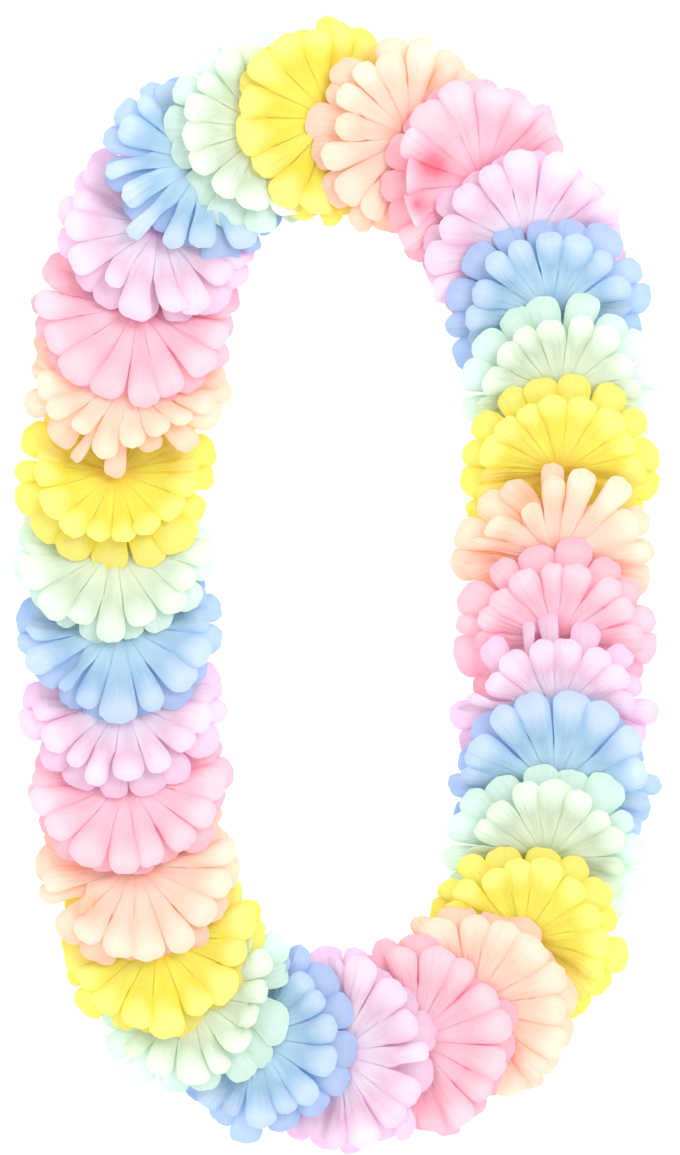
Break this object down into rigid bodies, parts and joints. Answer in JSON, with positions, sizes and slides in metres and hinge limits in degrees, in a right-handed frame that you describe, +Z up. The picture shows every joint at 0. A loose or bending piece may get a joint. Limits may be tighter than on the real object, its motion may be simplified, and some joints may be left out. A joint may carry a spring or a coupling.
{
  "type": "fabric flower lei",
  "caption": "Closed garland of pastel fabric flowers threaded on a knotted string with straw spacers, lying flat in a long oval loop to be worn round the neck.",
  "frame": {"origin": "centre of the bounding box at the level of the table that the lei lies on", "axes": "+Z up from the table, +Y along the loop's long side towards the top of the picture, +X to the picture's right"},
  "size_m": [0.2624, 0.458, 0.0253],
  "materials": {
    "yellow_fabric": "dyed yellow polyester satin weave, matt with a faint sheen, paler at the petal tips",
    "peach_fabric": "dyed peach polyester satin weave, matt with a faint sheen, paler at the petal tips",
    "pink_fabric": "dyed pink polyester satin weave, matt with a faint sheen, paler at the petal tips",
    "lavender_fabric": "dyed lavender polyester satin weave, matt with a faint sheen, paler at the petal tips",
    "blue_fabric": "dyed blue polyester satin weave, matt with a faint sheen, paler at the petal tips",
    "mint_fabric": "dyed mint polyester satin weave, matt with a faint sheen, paler at the petal tips",
    "string": "twisted off-white cotton string",
    "straw": "thin milky plastic straw, smooth"
  },
  "bodies": {
    "root": {"flower_01_yellow": "yellow_fabric", "flower_02_peach": "peach_fabric", "flower_03_pink": "pink_fabric", "flower_04_lavender": "lavender_fabric", "flower_05_blue": "blue_fabric", "flower_06_mint": "mint_fabric", "flower_07_yellow": "yellow_fabric", "flower_08_peach": "peach_fabric", "flower_09_pink": "pink_fabric", "flower_10_lavender": "lavender_fabric", "flower_11_blue": "blue_fabric", "flower_12_mint": "mint_fabric", "flower_13_yellow": "yellow_fabric", "flower_14_peach": "peach_fabric", "flower_15_pink": "pink_fabric", "flower_16_lavender": "lavender_fabric", "flower_17_blue": "blue_fabric", "flower_18_mint": "mint_fabric", "flower_19_yellow": "yellow_fabric", "flower_20_peach": "peach_fabric", "flower_21_pink": "pink_fabric", "flower_22_lavender": "lavender_fabric", "flower_23_blue": "blue_fabric", "flower_24_mint": "mint_fabric", "flower_25_yellow": "yellow_fabric", "flower_26_peach": "peach_fabric", "flower_27_pink": "pink_fabric", "flower_28_lavender": "lavender_fabric", "flower_29_blue": "blue_fabric", "flower_30_mint": "mint_fabric", "straw_spacer_01": "straw", "straw_spacer_02": "straw", "straw_spacer_03": "straw", "straw_spacer_04": "straw", "straw_spacer_05": "straw", "straw_spacer_06": "straw", "straw_spacer_07": "straw", "straw_spacer_08": "straw", "straw_spacer_09": "straw", "straw_spacer_10": "straw", "straw_spacer_11": "straw", "straw_spacer_12": "straw", "straw_spacer_13": "straw", "straw_spacer_14": "straw", "straw_spacer_15": "straw", "straw_spacer_16": "straw", "straw_spacer_17": "straw", "straw_spacer_18": "straw", "straw_spacer_19": "straw", "straw_spacer_20": "straw", "straw_spacer_21": "straw", "straw_spacer_22": "straw", "straw_spacer_23": "straw", "straw_spacer_24": "straw", "straw_spacer_25": "straw", "straw_spacer_26": "straw", "straw_spacer_27": "straw", "straw_spacer_28": "straw", "straw_spacer_29": "straw", "string": "string"}
  },
  "joints": []
}
